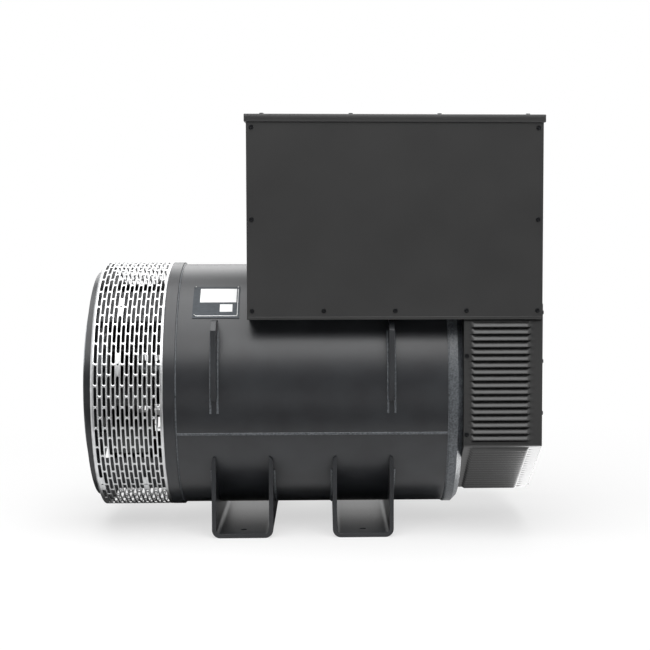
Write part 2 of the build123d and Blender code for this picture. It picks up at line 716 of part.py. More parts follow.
lid_z0 = BOX_TOP - LID_DEPTH + SHEET_T
with BuildPart() as box_lid:
    with Locations((box_mid_x, 0, lid_z0)):
        Box(BOX_L + 2 * LID_OVERHANG, 2 * (BOX_HALF_W + LID_OVERHANG), LID_DEPTH,
            align=(Align.CENTER, Align.CENTER, Align.MIN))
    with Locations((box_mid_x, 0, lid_z0)):
        Box(BOX_L + 2 * (LID_OVERHANG - SHEET_T), 2 * (BOX_HALF_W + LID_OVERHANG - SHEET_T), LID_DEPTH - SHEET_T,
            align=(Align.CENTER, Align.CENTER, Align.MIN), mode=Mode.SUBTRACT)
save(box_lid, "box_lid")

# ================================================================ inside the conduit box
with BuildPart() as terminal_rails:
    for x_mid in BOARD_X:
        with BuildSketch(Plane.YZ.offset(x_mid - BOARD_RAIL_W / 2)):
            with Locations((0, BOARD_Z / 2)):
                Rectangle(2 * BOARD_HALF_W, BOARD_Z)
            Circle(TUBE_R + WELD_FIT, mode=Mode.SUBTRACT)
        extrude(amount=BOARD_RAIL_W)
save(terminal_rails, "terminal_rails")

with BuildPart() as terminal_board:
    board_x = (BOARD_X[0] + BOARD_X[1]) / 2
    with BuildSketch(Plane.XY.offset(BOARD_Z)):
        with Locations((board_x, 0)):
            Rectangle(BOARD_X[1] - BOARD_X[0] + 2 * BOARD_RAIL_W, 2 * BOARD_HALF_W)
    extrude(amount=BOARD_T)
save(terminal_board, "terminal_board")

with BuildPart() as terminal_studs:
    with BuildSketch(Plane.XY.offset(BOARD_Z + BOARD_T)):
        with Locations((board_x, 0)):
            with GridLocations((BOARD_X[1] - BOARD_X[0]) / 3 * 2, BOARD_HALF_W * 2 / 3, 2, STUDS // 2):
                RegularPolygon(STUD_FLATS / 2, 6, major_radius=False)
    extrude(amount=STUD_H)
save(terminal_studs, "terminal_studs")

with BuildPart() as voltage_regulator:
    with Locations((BOX_X0 + SHEET_T, 0, REGULATOR_Z)):
        regulator = Box(*REGULATOR_SIZE, align=(Align.MIN, Align.CENTER, Align.CENTER))
    chamfer(regulator.edges().filter_by(Axis.X), 8)
save(voltage_regulator, "voltage_regulator")


# ================================================================ screws of the sheet metal
screw_head = hex_head(SCREW_FLATS, SCREW_HEAD_H)
lid_top = lid_z0 + LID_DEPTH
with BuildPart() as lid_screws:
    with Locations((box_mid_x, 0, lid_top)):
        with GridLocations((BOX_L - 2 * LID_SCREW_INSET) / (LID_SCREWS - 1),
                           2 * (BOX_HALF_W - LID_SCREW_EDGE), LID_SCREWS, 2):
            add(screw_head)
save(lid_screws, "lid_screws")

screw_z0 = BOX_BOTTOM + COVER_SCREW_BOTTOM
screw_z_step = (BOX_TOP - COVER_SCREW_TOP - screw_z0) / (COVER_SCREW_ROWS - 1)
screw_x0 = BOX_X0 + COVER_SCREW_INSET
screw_x_step = (BOX_L - 2 * COVER_SCREW_INSET) / (COVER_SCREW_FOOT - 1)
cover_screw_places = [(screw_x0 + screw_x_step * column, screw_z0 + screw_z_step * row)
                      for row in range(COVER_SCREW_ROWS)
                      for column in range(COVER_SCREW_FOOT)
                      if row == 0 or column in (0, COVER_SCREW_FOOT - 1)]
with BuildPart() as box_screws:
    for side in (-1, 1):
        for x, z in cover_screw_places:
            with Locations(facing(x, side * BOX_HALF_W, z, (0, side, 0))):
                add(screw_head)
save(box_screws, "box_screws")

with BuildPart() as shroud_screws:
    for side in (-1, 1):
        for z in SHROUD_BOLT_Z:
            with Locations(facing(NDE_X + SHROUD_BOLT_X, side * SHROUD_HALF_W, z, (0, side, 0))):
                add(screw_head)
        for z in COVER_EDGE_Z:
            with Locations(facing(SHROUD_X1 + SHEET_T, side * (SHROUD_HALF_W - SHROUD_HEM), z, (1, 0, 0))):
                add(screw_head)
        with Locations(facing(SHROUD_X1 + SHEET_T, side * SHROUD_BOTTOM_HALF_W, SHROUD_BOTTOM + SHROUD_HEM,
                              (1, 0, 0))):
            add(screw_head)
save(shroud_screws, "shroud_screws")
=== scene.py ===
from math import cos, degrees, hypot, pi, radians, sin, sqrt, tan

import bmesh
import bpy
from mathutils import Matrix, Vector, noise


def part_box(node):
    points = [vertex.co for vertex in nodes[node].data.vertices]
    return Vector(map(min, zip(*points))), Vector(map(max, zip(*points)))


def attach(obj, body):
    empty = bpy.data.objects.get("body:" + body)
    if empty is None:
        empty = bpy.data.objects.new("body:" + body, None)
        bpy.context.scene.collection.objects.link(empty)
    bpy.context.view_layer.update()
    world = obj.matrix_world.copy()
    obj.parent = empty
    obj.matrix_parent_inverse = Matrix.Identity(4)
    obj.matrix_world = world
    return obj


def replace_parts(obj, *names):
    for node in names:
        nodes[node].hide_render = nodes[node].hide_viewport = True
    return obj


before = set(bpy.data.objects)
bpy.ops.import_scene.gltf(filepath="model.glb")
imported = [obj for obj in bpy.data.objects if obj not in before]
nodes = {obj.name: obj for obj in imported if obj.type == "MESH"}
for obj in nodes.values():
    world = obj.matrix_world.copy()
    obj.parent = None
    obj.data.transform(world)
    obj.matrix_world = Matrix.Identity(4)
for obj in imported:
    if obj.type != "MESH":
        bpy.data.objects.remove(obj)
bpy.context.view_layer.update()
MM = 0.001

# ------------------------------------------------------------------ sizes, in metres
# The shaft runs along X, the flange face is X = 0 and -Y is the side with the nameplate.
tube_low, tube_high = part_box("frame_shell_upper")
TUBE_X0, TUBE_X1 = tube_low.x, tube_high.x
TUBE_R = tube_high.z
TUBE_T = 9.5 * MM
SEAM_ANGLE = 17.8                      # degrees that both long welds lie below the shaft's level
rear_low, rear_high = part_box("frame_nde_ring")
REAR_X0, REAR_X1 = rear_low.x, rear_high.x
screen_low, screen_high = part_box("outlet_screen")
SCREEN_X0, SCREEN_X1, SCREEN_R = screen_low.x, screen_high.x, screen_high.z
box_low, box_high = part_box("box_front_cover")
lid_low, lid_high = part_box("box_lid")
cover_low, cover_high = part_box("shroud_end_cover")
BOX_X0, BOX_X1, BOX_HALF_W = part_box("box_de_panel")[0].x, cover_low.x, 400 * MM
COVER_T = 3 * MM                       # sheet of the conduit box's long covers
# The inlet housing's sides stand upright down to the knee and slant in below it.
HOUSING_L = 231.5 * MM
HOUSING_HALF_W = 390 * MM
HOUSING_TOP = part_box("shroud_side_front")[1].z
KNEE_Z, HOUSING_FOOT_Z = -153 * MM, -333 * MM
SLANT = 30                             # degrees between the slanted walls and level
HOUSING_FOOT_HALF_W = HOUSING_HALF_W - (KNEE_Z - HOUSING_FOOT_Z) / tan(radians(SLANT))


# ------------------------------------------------------------------ finishes
def linear(code):
    """An sRGB hex colour as the linear colour that a shader takes."""
    parts = [int(code[i:i + 2], 16) / 255 for i in (1, 3, 5)]
    return tuple(c / 12.92 if c <= 0.04045 else ((c + 0.055) / 1.055) ** 2.4 for c in parts) + (1,)


def add(tree, kind, settings, inputs):
    """Adds a node, sets it up, and sets or links its inputs."""
    made = tree.nodes.new("ShaderNode" + kind)
    for key, value in settings.items():
        if key == "stops":
            for element, (position, code) in zip(made.color_ramp.elements, value):
                element.position, element.color = position, linear(code)
        else:
            setattr(made, key, value)
    for key, value in inputs.items():
        if isinstance(value, bpy.types.NodeSocket):
            tree.links.new(value, made.inputs[key])
        else:
            made.inputs[key].default_value = value
    return made


def finish(name):
    """An empty material with its output, its surface shader and its place on the part."""
    made = bpy.data.materials.new(name)
    made.use_nodes = True
    tree = made.node_tree
    tree.nodes.clear()
    place = add(tree, "TexCoord", {}, {}).outputs["Object"]
    surface = add(tree, "BsdfPrincipled", {}, {})
    add(tree, "OutputMaterial", {}, {"Surface": surface.outputs[0]})
    return made, tree, place, surface


def painted(name, dark, light, rough, grain, depth, mottle, edge):
    """Paint on steel: two close colours in soft patches, a fine orange-peel skin and softened edges."""
    made, tree, place, surface = finish(name)
    patches = add(tree, "TexNoise", {}, {"Vector": place, "Scale": 1 / mottle, "Detail": 4.0})
    skin = add(tree, "TexNoise", {}, {"Vector": place, "Scale": 1 / grain, "Detail": 3.0})
    colour = add(tree, "ValToRGB", {"stops": ((0.3, dark), (0.7, light))}, {"Fac": patches.outputs["Fac"]})
    gloss = add(tree, "MapRange", {}, {"Value": skin.outputs["Fac"], "To Min": rough - 0.05,
                                       "To Max": rough + 0.05})
    edges = add(tree, "Bevel", {"samples": 4}, {"Radius": edge})
    bump = add(tree, "Bump", {}, {"Height": skin.outputs["Fac"], "Strength": 0.5,
                                  "Distance": depth, "Normal": edges.outputs["Normal"]})
    tree.links.new(colour.outputs[0], surface.inputs["Base Color"])
    tree.links.new(gloss.outputs[0], surface.inputs["Roughness"])
    tree.links.new(bump.outputs["Normal"], surface.inputs["Normal"])
    surface.inputs["IOR"].default_value = 1.5
    return made


def metal(name, dark, light, rough, grain, stretch, depth):
    """Bare metal with a grain that may be drawn out along one direction."""
    made, tree, place, surface = finish(name)
    drawn = add(tree, "Mapping", {}, {"Vector": place, "Scale": stretch})
    lines = add(tree, "TexNoise", {}, {"Vector": drawn.outputs[0], "Scale": 1 / grain, "Detail": 5.0})
    bump = add(tree, "Bump", {}, {"Height": lines.outputs["Fac"], "Strength": 0.4, "Distance": depth})
    colour = add(tree, "ValToRGB", {"stops": ((0.3, dark), (0.7, light))}, {"Fac": lines.outputs["Fac"]})
    gloss = add(tree, "MapRange", {}, {"Value": lines.outputs["Fac"], "To Min": rough - 0.06,
                                       "To Max": rough + 0.08})
    tree.links.new(colour.outputs[0], surface.inputs["Base Color"])
    tree.links.new(gloss.outputs[0], surface.inputs["Roughness"])
    tree.links.new(bump.outputs["Normal"], surface.inputs["Normal"])
    surface.inputs["Metallic"].default_value = 1.0
    return made


# Air-dried black enamel sprayed on fabricated steel: near black, with a soft semi-gloss that
# turns pale where the eye skims along it.  The orange peel is drawn at 6 mm so that it shows.
black_enamel = painted("black_enamel_sprayed", "#202124", "#292b2e", 0.36, 6 * MM, 0.05 * MM, 90 * MM,
                       1.5 * MM)
# The same enamel over a flame-cut and ground ring: a coarse, pitted skin of 4 mm grains. Its 6 mm patches
# of pale grey are painted highlight specks, on the ring and on the welds that take this enamel.
rough_enamel_with_painted_specks = painted("black_enamel_on_flame_cut_steel_painted_specks", "#33363a", "#606468", 0.36, 4 * MM, 2.0 * MM,
                       6 * MM, 1.5 * MM)
# Black polyester powder coat on folded sheet: even charcoal, fine texture drawn at 5 mm.
powder_coat = painted("charcoal_powder_coated_sheet", "#2a2a2a", "#2e2e2e", 0.34, 5 * MM, 0.03 * MM,
                      140 * MM, 1.2 * MM)
# Perforated stainless strip, dull rolled: bright, nearly white, with lines along the strip.
screen_steel = metal("perforated_stainless_strip", "#c9cacb", "#e6e7e8", 0.34, 6 * MM, (1.0, 0.2, 0.2),
                     0.02 * MM)
# Bright zinc plate on bolts and washers: cool grey with a faint bloom.
zinc = metal("zinc_plated_steel", "#a9abab", "#c6c8c6", 0.30, 4 * MM, (1, 1, 1), 0.02 * MM)
# Turned shaft, hub and discs, lightly oiled, with fine tool lines round the shaft: painted mid grey,
# darker than bare steel, as the shade inside the housing.
machined_in_painted_shade = metal("turned_carbon_steel_in_painted_shade", "#55575a", "#77797b", 0.33, 3 * MM, (3.0, 0.6, 0.6), 0.03 * MM)
# Ground bearing steel: the smoothest metal on the part.
bearing_steel = metal("ground_bearing_steel", "#a6a8aa", "#bcbec0", 0.16, 3 * MM, (2.0, 0.5, 0.5),
                      0.005 * MM)
# Sand-cast aluminium of the fan and the diode wheel, dull, painted dark grey as the shade inside the
# housing: 3 mm sand grain.
cast_aluminium_in_painted_shade = metal("sand_cast_aluminium", "#3c3d3d", "#555656", 0.5, 3 * MM, (1, 1, 1), 0.25 * MM)
# Brass studs, rolled bar: warm yellow with lines along the stud.
brass = metal("drawn_brass", "#a88442", "#c79f58", 0.28, 3 * MM, (2.0, 2.0, 0.4), 0.02 * MM)
# Black oxide on screws: darker and duller than the paint, with a metal edge.
black_oxide = metal("black_oxide_steel", "#1b1b1c", "#333436", 0.38, 3 * MM, (1, 1, 1), 0.02 * MM)


def laminations():
    """Stacked electrical steel under red-brown varnish: thin sheets as lines across the shaft."""
    made, tree, place, surface = finish("varnished_electrical_steel")
    # sheets are 0.5 mm thick and too fine to show, so they are drawn as bands of 12 mm
    sheets = add(tree, "TexWave", {"bands_direction": "X", "wave_profile": "SAW"},
                 {"Vector": place, "Scale": pi / 10 / (12 * MM), "Distortion": 0.4})
    bump = add(tree, "Bump", {}, {"Height": sheets.outputs["Fac"], "Strength": 0.4, "Distance": 0.2 * MM})
    colour = add(tree, "ValToRGB", {"stops": ((0.0, "#4b2519"), (1.0, "#6b3a2a"))},
                 {"Fac": sheets.outputs["Fac"]})
    tree.links.new(colour.outputs[0], surface.inputs["Base Color"])
    tree.links.new(bump.outputs["Normal"], surface.inputs["Normal"])
    surface.inputs["Roughness"].default_value = 0.38
    surface.inputs["IOR"].default_value = 1.5
    return made


def enamelled_copper():
    """Wound enamelled wire under varnish: coppery red-brown, with wires lying side by side."""
    made, tree, place, surface = finish("enamelled_copper_wire")
    # wires are 3 mm thick and are drawn about 7 mm apart so that they show
    wires = add(tree, "TexWave", {"bands_direction": "DIAGONAL", "wave_profile": "SIN"},
                {"Vector": place, "Scale": pi / 10 / (6 * MM), "Distortion": 2.0})
    bump = add(tree, "Bump", {}, {"Height": wires.outputs["Fac"], "Strength": 0.6, "Distance": 0.8 * MM})
    colour = add(tree, "ValToRGB", {"stops": ((0.1, "#5a2613"), (0.9, "#a35330"))},
                 {"Fac": wires.outputs["Fac"]})
    tree.links.new(colour.outputs[0], surface.inputs["Base Color"])
    tree.links.new(bump.outputs["Normal"], surface.inputs["Normal"])
    surface.inputs["Roughness"].default_value = 0.30
    surface.inputs["IOR"].default_value = 1.55
    return made


def moulded(name, dark, light, rough):
    """Moulded plastic: an even colour with a fine spark-eroded texture of 2 mm."""
    made, tree, place, surface = finish(name)
    grain = add(tree, "TexNoise", {}, {"Vector": place, "Scale": 1 / (2 * MM), "Detail": 2.0})
    bump = add(tree, "Bump", {}, {"Height": grain.outputs["Fac"], "Strength": 0.3, "Distance": 0.1 * MM})
    colour = add(tree, "ValToRGB", {"stops": ((0.3, dark), (0.7, light))}, {"Fac": grain.outputs["Fac"]})
    tree.links.new(colour.outputs[0], surface.inputs["Base Color"])
    tree.links.new(bump.outputs["Normal"], surface.inputs["Normal"])
    surface.inputs["Roughness"].default_value = rough
    surface.inputs["IOR"].default_value = 1.5
    return made


laminated_steel = laminations()
winding = enamelled_copper()
# Glass-filled polyester terminal board: brick red, matt.
terminal_board = moulded("polyester_terminal_board", "#5e1f18", "#6b271e", 0.55)
# Epoxy-potted regulator: near black and smooth.
potting = moulded("epoxy_potted_case", "#18181b", "#202024", 0.32)
# Anodised aluminium nameplate: dark grey with a satin sheen and a fine brushing lengthwise.
plate_metal = metal("dark_anodised_aluminium", "#2c2e30", "#3c3f42", 0.36, 3 * MM, (0.3, 2.0, 2.0),
                    0.02 * MM)
# Printed white polyester film: plain white and slightly glossy.
label_film = moulded("white_polyester_film", "#f0f1f1", "#f6f6f6", 0.35)

CARRIED_OVER = {
    "de_adapter": black_enamel, "adapter_bars": black_enamel, "frame_de_ring": black_enamel,
    "frame_shell_upper": black_enamel, "frame_shell_lower": black_enamel, "frame_nde_ring": rough_enamel_with_painted_specks,
    "foot_de": black_enamel, "foot_nde": black_enamel, "lifting_lugs": black_enamel,
    "nameplate": plate_metal, "stator_core": laminated_steel, "stator_core_bars": machined_in_painted_shade,
    "stator_winding": winding, "nde_bracket": black_enamel, "nde_bracket_bolts": zinc,
    "bearing_outer_race": bearing_steel, "exciter_stator": laminated_steel,
    "shroud_back_plate": powder_coat, "shroud_side_front": powder_coat, "shroud_side_rear": powder_coat,
    "shroud_bottom": powder_coat, "shroud_end_cover": powder_coat, "shroud_screws": black_oxide,
    "box_frame": powder_coat, "box_de_panel": powder_coat, "box_nde_panel": powder_coat,
    "box_front_cover": powder_coat, "box_rear_cover": powder_coat, "box_floor": powder_coat,
    "box_lid": powder_coat, "lid_screws": black_oxide, "box_screws": black_oxide,
    "terminal_rails": machined_in_painted_shade, "terminal_board": terminal_board, "terminal_studs": brass,
    "voltage_regulator": potting, "outlet_screen": screen_steel,
    "rotor_shaft": machined_in_painted_shade, "drive_hub": machined_in_painted_shade, "drive_discs": machined_in_painted_shade, "disc_bolts": zinc,
    "fan": cast_aluminium_in_painted_shade, "rotor_core": laminated_steel, "field_coils": winding,
    "rectifier_wheel": cast_aluminium_in_painted_shade, "exciter_armature": laminated_steel,
    "bearing_inner_race": bearing_steel, "bearing_cage": bearing_steel,
}
for name, node in nodes.items():
    node.data.materials.clear()
    node.data.materials.append(CARRIED_OVER[name])


# ------------------------------------------------------------------ making pieces
def piece(name, mesh_in_work, material, sharp=35.0):
    """Turns the mesh in the making into a piece of the frame."""
    bmesh.ops.remove_doubles(mesh_in_work, verts=mesh_in_work.verts, dist=0.005 * MM)
    bmesh.ops.recalc_face_normals(mesh_in_work, faces=mesh_in_work.faces)
    mesh = bpy.data.meshes.new(name)
    mesh_in_work.to_mesh(mesh)
    mesh_in_work.free()
    mesh.materials.append(material)
    mesh.shade_smooth()
    mesh.set_sharp_from_angle(angle=radians(sharp))
    made = bpy.data.objects.new(name, mesh)
    bpy.context.scene.collection.objects.link(made)
    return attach(made, "frame")


def rounded(outline, radius, steps=3):
    """A closed outline with each corner eased to a small round."""
    eased = []
    for i, corner in enumerate(outline):
        corner = Vector(corner)
        before, after = Vector(outline[i - 1]) - corner, Vector(outline[(i + 1) % len(outline)]) - corner
        start = corner + before.normalized() * min(radius, 0.45 * before.length)
        end = corner + after.normalized() * min(radius, 0.45 * after.length)
        for step in range(steps + 1):
            t = step / steps
            eased.append(start * (1 - t) ** 2 + corner * 2 * t * (1 - t) + end * t ** 2)
    return eased


def turned(outline, steps, start, end):
    """Part of a turn about the shaft, between two angles in degrees, of a closed (x, radius) outline."""
    work = bmesh.new()
    rings = []
    for i in range(steps + 1):
        angle = radians(start + (end - start) * i / steps)
        rings.append([work.verts.new((x, r * cos(angle), r * sin(angle))) for x, r in outline])
    for here, there in zip(rings, rings[1:]):
        for j in range(len(outline)):
            k = (j + 1) % len(outline)
            work.faces.new((here[j], here[k], there[k], there[j]))
    work.faces.new(rings[0])
    work.faces.new(rings[-1])
    return work


def slab(work, low, high, radius=0.8 * MM):
    """A plate or block with eased edges between two corners, added to the mesh in the making."""
    made = bmesh.ops.create_cube(work, size=1.0)["verts"]
    low, high = Vector(low), Vector(high)
    for vert in made:
        vert.co = Vector(low[i] + (high[i] - low[i]) * (vert.co[i] + 0.5) for i in range(3))
    edges = list({edge for vert in made for edge in vert.link_edges})
    bmesh.ops.bevel(work, geom=edges, offset=radius, segments=2, profile=0.5, affect="EDGES")


def facing(point, out):
    """The place of a fastener that sits at a point and faces out."""
    return Matrix.Translation(Vector(point)) @ Vector(out).to_track_quat("Z", "Y").to_matrix().to_4x4()


SCREW_FLATS = 11 * MM
SCREW_H = 3.5 * MM
SCREW_WASHER_R = 7 * MM
SCREW_STEPS = 24


def hex_screw(work, place):
    """A hex washer-head screw: domed flange, chamfered hexagon and a shallow dish on top."""
    washer_h = 0.28 * SCREW_H
    corner_r = SCREW_FLATS / sqrt(3)
    angles = [2 * pi * i / SCREW_STEPS for i in range(SCREW_STEPS)]
    levels = []
    for radius, level in ((SCREW_WASHER_R, 0.0), (SCREW_WASHER_R, washer_h * 0.5),
                          (SCREW_WASHER_R * 0.93, washer_h)):
        levels.append([(radius * cos(angle), radius * sin(angle), level) for angle in angles])
    for level, shrink in ((washer_h, 1.0), (SCREW_H * 0.86, 1.0), (SCREW_H, 0.88)):
        ring = []
        for angle in angles:
            within = angle % (pi / 3) - pi / 6
            radius = min(corner_r * cos(pi / 6) / cos(within), corner_r * shrink)
            ring.append((radius * cos(angle), radius * sin(angle), level))
        levels.append(ring)
    for radius, level in ((corner_r * 0.62, SCREW_H), (corner_r * 0.5, SCREW_H * 0.82)):
        levels.append([(radius * cos(angle), radius * sin(angle), level) for angle in angles])
    made = [[work.verts.new(place @ Vector(co)) for co in ring] for ring in levels]
    for lower, upper in zip(made, made[1:]):
        for i in range(SCREW_STEPS):
            k = (i + 1) % SCREW_STEPS
            work.faces.new((lower[i], lower[k], upper[k], upper[i]))
    work.faces.new(made[0])
    work.faces.new(made[-1])


def weld_bead(work, path, out, width, height, pitch):
    """A run of weld along a line of points: a low crown with the ripples that the pool leaves."""
    rows = []
    travelled = 0.0
    for i, point in enumerate(path):
        ahead = (path[min(i + 1, len(path) - 1)] - path[max(i - 1, 0)]).normalized()
        normal = out[i]
        across = ahead.cross(normal).normalized()
        if i:
            travelled += (point - path[i - 1]).length
        ripple = 1 + 0.16 * sin(2 * pi * travelled / pitch) + 0.12 * noise.noise(point * 60)
        row = []
        for angle in (0, 30, 60, 90, 120, 150, 180):
            side = cos(radians(angle)) * width / 2 * (0.9 + 0.1 * ripple)
            rise = sin(radians(angle)) * height * ripple
            row.append(work.verts.new(point + across * side + normal * rise))
        rows.append(row)
    for here, there in zip(rows, rows[1:]):
        for j in range(6):
            work.faces.new((here[j], here[j + 1], there[j + 1], there[j]))
        work.faces.new((here[6], here[0], there[0], there[6]))
    work.faces.new(rows[0])
    work.faces.new(rows[-1])


# ------------------------------------------------------------------ outlet screen
COLUMNS = 15
ROWS = 38
COLUMN_PITCH = 13.26 * MM
SLOT_L = 58.5 * MM
SLOT_W = 9.2 * MM
SCREEN_T = 2 * MM
ROW_PITCH = 2 * pi * SCREEN_R / ROWS
# solid places with a square hole, where a clip holds the strip: (column, degrees above the -Y side)
CLIPS = ((5, 14.2), (5, 42.6), (0, -47.4), (10, -47.4), (5, -90.0), (10, 90.0))
CLIP_HOLE = 5 * MM


def slot_levels():
    """Places along one cell of the strip where its edges need a corner, the same after a half turn."""
    straight = SLOT_L / 2 - SLOT_W / 2
    inside = [straight + SLOT_W / 2 * sin(radians(angle)) for angle in (0, 30, 60, 90)]
    levels = set(inside) | {ROW_PITCH / 2 - level for level in inside} | {CLIP_HOLE / 2, ROW_PITCH / 4}
    levels |= {-level for level in levels} | {0.0, ROW_PITCH / 2, -ROW_PITCH / 2}
    return sorted(round(level, 7) for level in levels)


def slot_half(level):
    """Half the slot's width at a place along the cell."""
    beyond = abs(level) - (SLOT_L / 2 - SLOT_W / 2)
    if beyond <= 0:
        return SLOT_W / 2
    return sqrt(max((SLOT_W / 2) ** 2 - beyond ** 2, 0.0))


def screen_piece():
    """The perforated strip, a closed ring whose columns of slots stand half a row apart."""
    work = bmesh.new()
    levels = slot_levels()
    margin = (SCREEN_X1 - SCREEN_X0 - COLUMNS * COLUMN_PITCH) / 2
    corners = {}

    def vert(x, along):
        """A corner of the strip from its place along the shaft and its length round the ring."""
        angle = pi + along / SCREEN_R
        key = (round(x, 6), round(cos(angle), 6), round(sin(angle), 6))
        if key not in corners:
            corners[key] = work.verts.new((x, SCREEN_R * cos(angle), SCREEN_R * sin(angle)))
        return corners[key]

    def face(x0, x1, a0, a1, x2=None, x3=None):
        """A four-sided bit of the strip, or a triangle where two of its corners meet."""
        x2, x3 = (x1 if x2 is None else x2), (x0 if x3 is None else x3)
        around = []
        for corner in (vert(x0, a0), vert(x1, a0), vert(x2, a1), vert(x3, a1)):
            if corner not in around:
                around.append(corner)
        if len(around) > 2:
            work.faces.new(around)

    for column in range(COLUMNS):
        x_left = SCREEN_X0 + margin + column * COLUMN_PITCH
        x_right, x_mid = x_left + COLUMN_PITCH, x_left + COLUMN_PITCH / 2
        for row in range(ROWS):
            middle = ROW_PITCH * (row + column % 2 / 2)
            # the angle grows downwards on the -Y side, so height above it is the other way
            height = -degrees(middle / SCREEN_R)
            height = (height + 180) % 360 - 180
            clip = any(column == c and abs(height - a) < 180 / ROWS for c, a in CLIPS)
            for low, high in zip(levels, levels[1:]):
                if clip:
                    inside = abs(low + high) / 2 < CLIP_HOLE / 2
                    w0 = w1 = CLIP_HOLE / 2 if inside else 0.0
                else:
                    w0, w1 = slot_half(low), slot_half(high)
                a0, a1 = middle + low, middle + high
                if w0 < 1e-6 and w1 < 1e-6:    # no slot at this level
                    face(x_left, x_mid, a0, a1)
                    face(x_mid, x_right, a0, a1)
                else:
                    face(x_left, x_mid - w0, a0, a1, x_mid - w1, x_left)
                    face(x_mid + w0, x_right, a0, a1, x_right, x_mid + w1)
    for edge_x, strip_x in ((SCREEN_X0, SCREEN_X0 + margin), (SCREEN_X1 - margin, SCREEN_X1)):
        for row in range(ROWS):
            for low, high in zip(levels, levels[1:]):
                face(edge_x, strip_x, ROW_PITCH * row + low, ROW_PITCH * row + high)
    made = piece("perforated_screen", work, screen_steel, sharp=50)
    thick = made.modifiers.new("strip_thickness", "SOLIDIFY")
    thick.thickness = SCREEN_T
    thick.offset = -1.0
    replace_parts(made, "outlet_screen")


screen_piece()

# ------------------------------------------------------------------ frame tube and rings
EASE = 1.2 * MM
shell_outline = rounded([(TUBE_X0, TUBE_R - TUBE_T), (TUBE_X1, TUBE_R - TUBE_T), (TUBE_X1, TUBE_R),
                         (TUBE_X0, TUBE_R)], EASE)
upper = piece("tube_upper", turned(shell_outline, 160, -SEAM_ANGLE, 180 + SEAM_ANGLE), black_enamel)
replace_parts(upper, "frame_shell_upper")
lower = piece("tube_lower", turned(shell_outline, 120, 180 + SEAM_ANGLE, 360 - SEAM_ANGLE), black_enamel)
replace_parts(lower, "frame_shell_lower")

SEAM_STEPS = 272
SEAM_SINK = 0.6 * MM                   # how deep a bead's foot sits in the tube
seams = bmesh.new()
for side in (-1, 1):
    out = Vector((0, side * cos(radians(SEAM_ANGLE)), -sin(radians(SEAM_ANGLE))))
    run = [Vector((TUBE_X0 + (TUBE_X1 - TUBE_X0) * i / SEAM_STEPS, 0, 0)) + out * (TUBE_R - SEAM_SINK)
           for i in range(SEAM_STEPS + 1)]
    weld_bead(seams, run, [out] * len(run), 9 * MM, 2.6 * MM, 12 * MM)
piece("tube_seam_welds", seams, rough_enamel_with_painted_specks, sharp=60)


def tube_arc(x, start, end, radius, steps):
    """Points round the tube between two heights above the -Y side, in degrees, with their normals."""
    angles = [radians(start + (end - start) * i / steps) for i in range(steps + 1)]
    out = [Vector((0, -cos(angle), sin(angle))) for angle in angles]
    return [Vector((x, 0, 0)) + way * radius for way in out], out


# Fillet welds sit in the corner between the tube and what stands on it.
FILLET_R = TUBE_R - 0.5 * MM
FOOT_WELD_OFF = 2 * MM                 # from a foot's side to the middle of the bead
RING_WELD_OFF = 1.5 * MM
LUG_WELD_OFF = 10.5 * MM               # from the middle of a lug's plate to the middle of the bead
LUG_PLACES = (385 * MM, 914 * MM)
fillets = bmesh.new()
for name in ("foot_de", "foot_nde"):
    foot_low, foot_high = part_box(name)
    for x in (foot_low.x - FOOT_WELD_OFF, foot_high.x + FOOT_WELD_OFF):
        weld_bead(fillets, *tube_arc(x, -38.0, -142.0, FILLET_R, 240), 9 * MM, 3.5 * MM, 9 * MM)
for lug_x in LUG_PLACES:
    for x in (lug_x - LUG_WELD_OFF, lug_x + LUG_WELD_OFF):
        for start, end in ((-8.0, 30.0), (188.0, 150.0)):
            weld_bead(fillets, *tube_arc(x, start, end, FILLET_R, 90), 7 * MM, 3 * MM, 8 * MM)
for x in (TUBE_X0 + RING_WELD_OFF, REAR_X0 - RING_WELD_OFF):
    weld_bead(fillets, *tube_arc(x, 0.0, 360.0, FILLET_R, 540), 7 * MM, 2.5 * MM, 10 * MM)
piece("frame_fillet_welds", fillets, rough_enamel_with_painted_specks, sharp=60)

# ------------------------------------------------------------------ louvred sides
LOUVRE_L = 178 * MM
LOUVRE_INSET = 20.5 * MM               # from the rear ring to the hoods
LOUVRE_PITCH = 20 * MM
LOUVRE_H = 14.5 * MM
LOUVRE_REACH = 9 * MM                  # how far a hood's lip stands off the sheet
LOUVRE_TOP = 212 * MM                  # height of the first hood's middle over the shaft
SIDE_ROWS = 18
SLOPE_ROWS = 17
HOOD_END = 11 * MM                     # length over which a hood closes at its ends
END_STEPS, MIDDLE_STEPS = 6, 10
# the hood from its top edge to its lip: share of its height, share of its reach
HOOD_SHAPE = ((0.0, 0.0), (0.05, 0.1), (0.12, 0.22), (0.4, 0.54), (0.7, 0.84), (0.9, 0.98), (1.0, 1.0))
LIP_GAP = 4.2 * MM                     # strip below the lip that the hood above keeps in shade
STEP_BACK = -0.5                       # how far that strip lies behind the sheet, in reaches
BEND_R = 4 * MM
LOUVRE_SHEET_T = 1.6 * MM


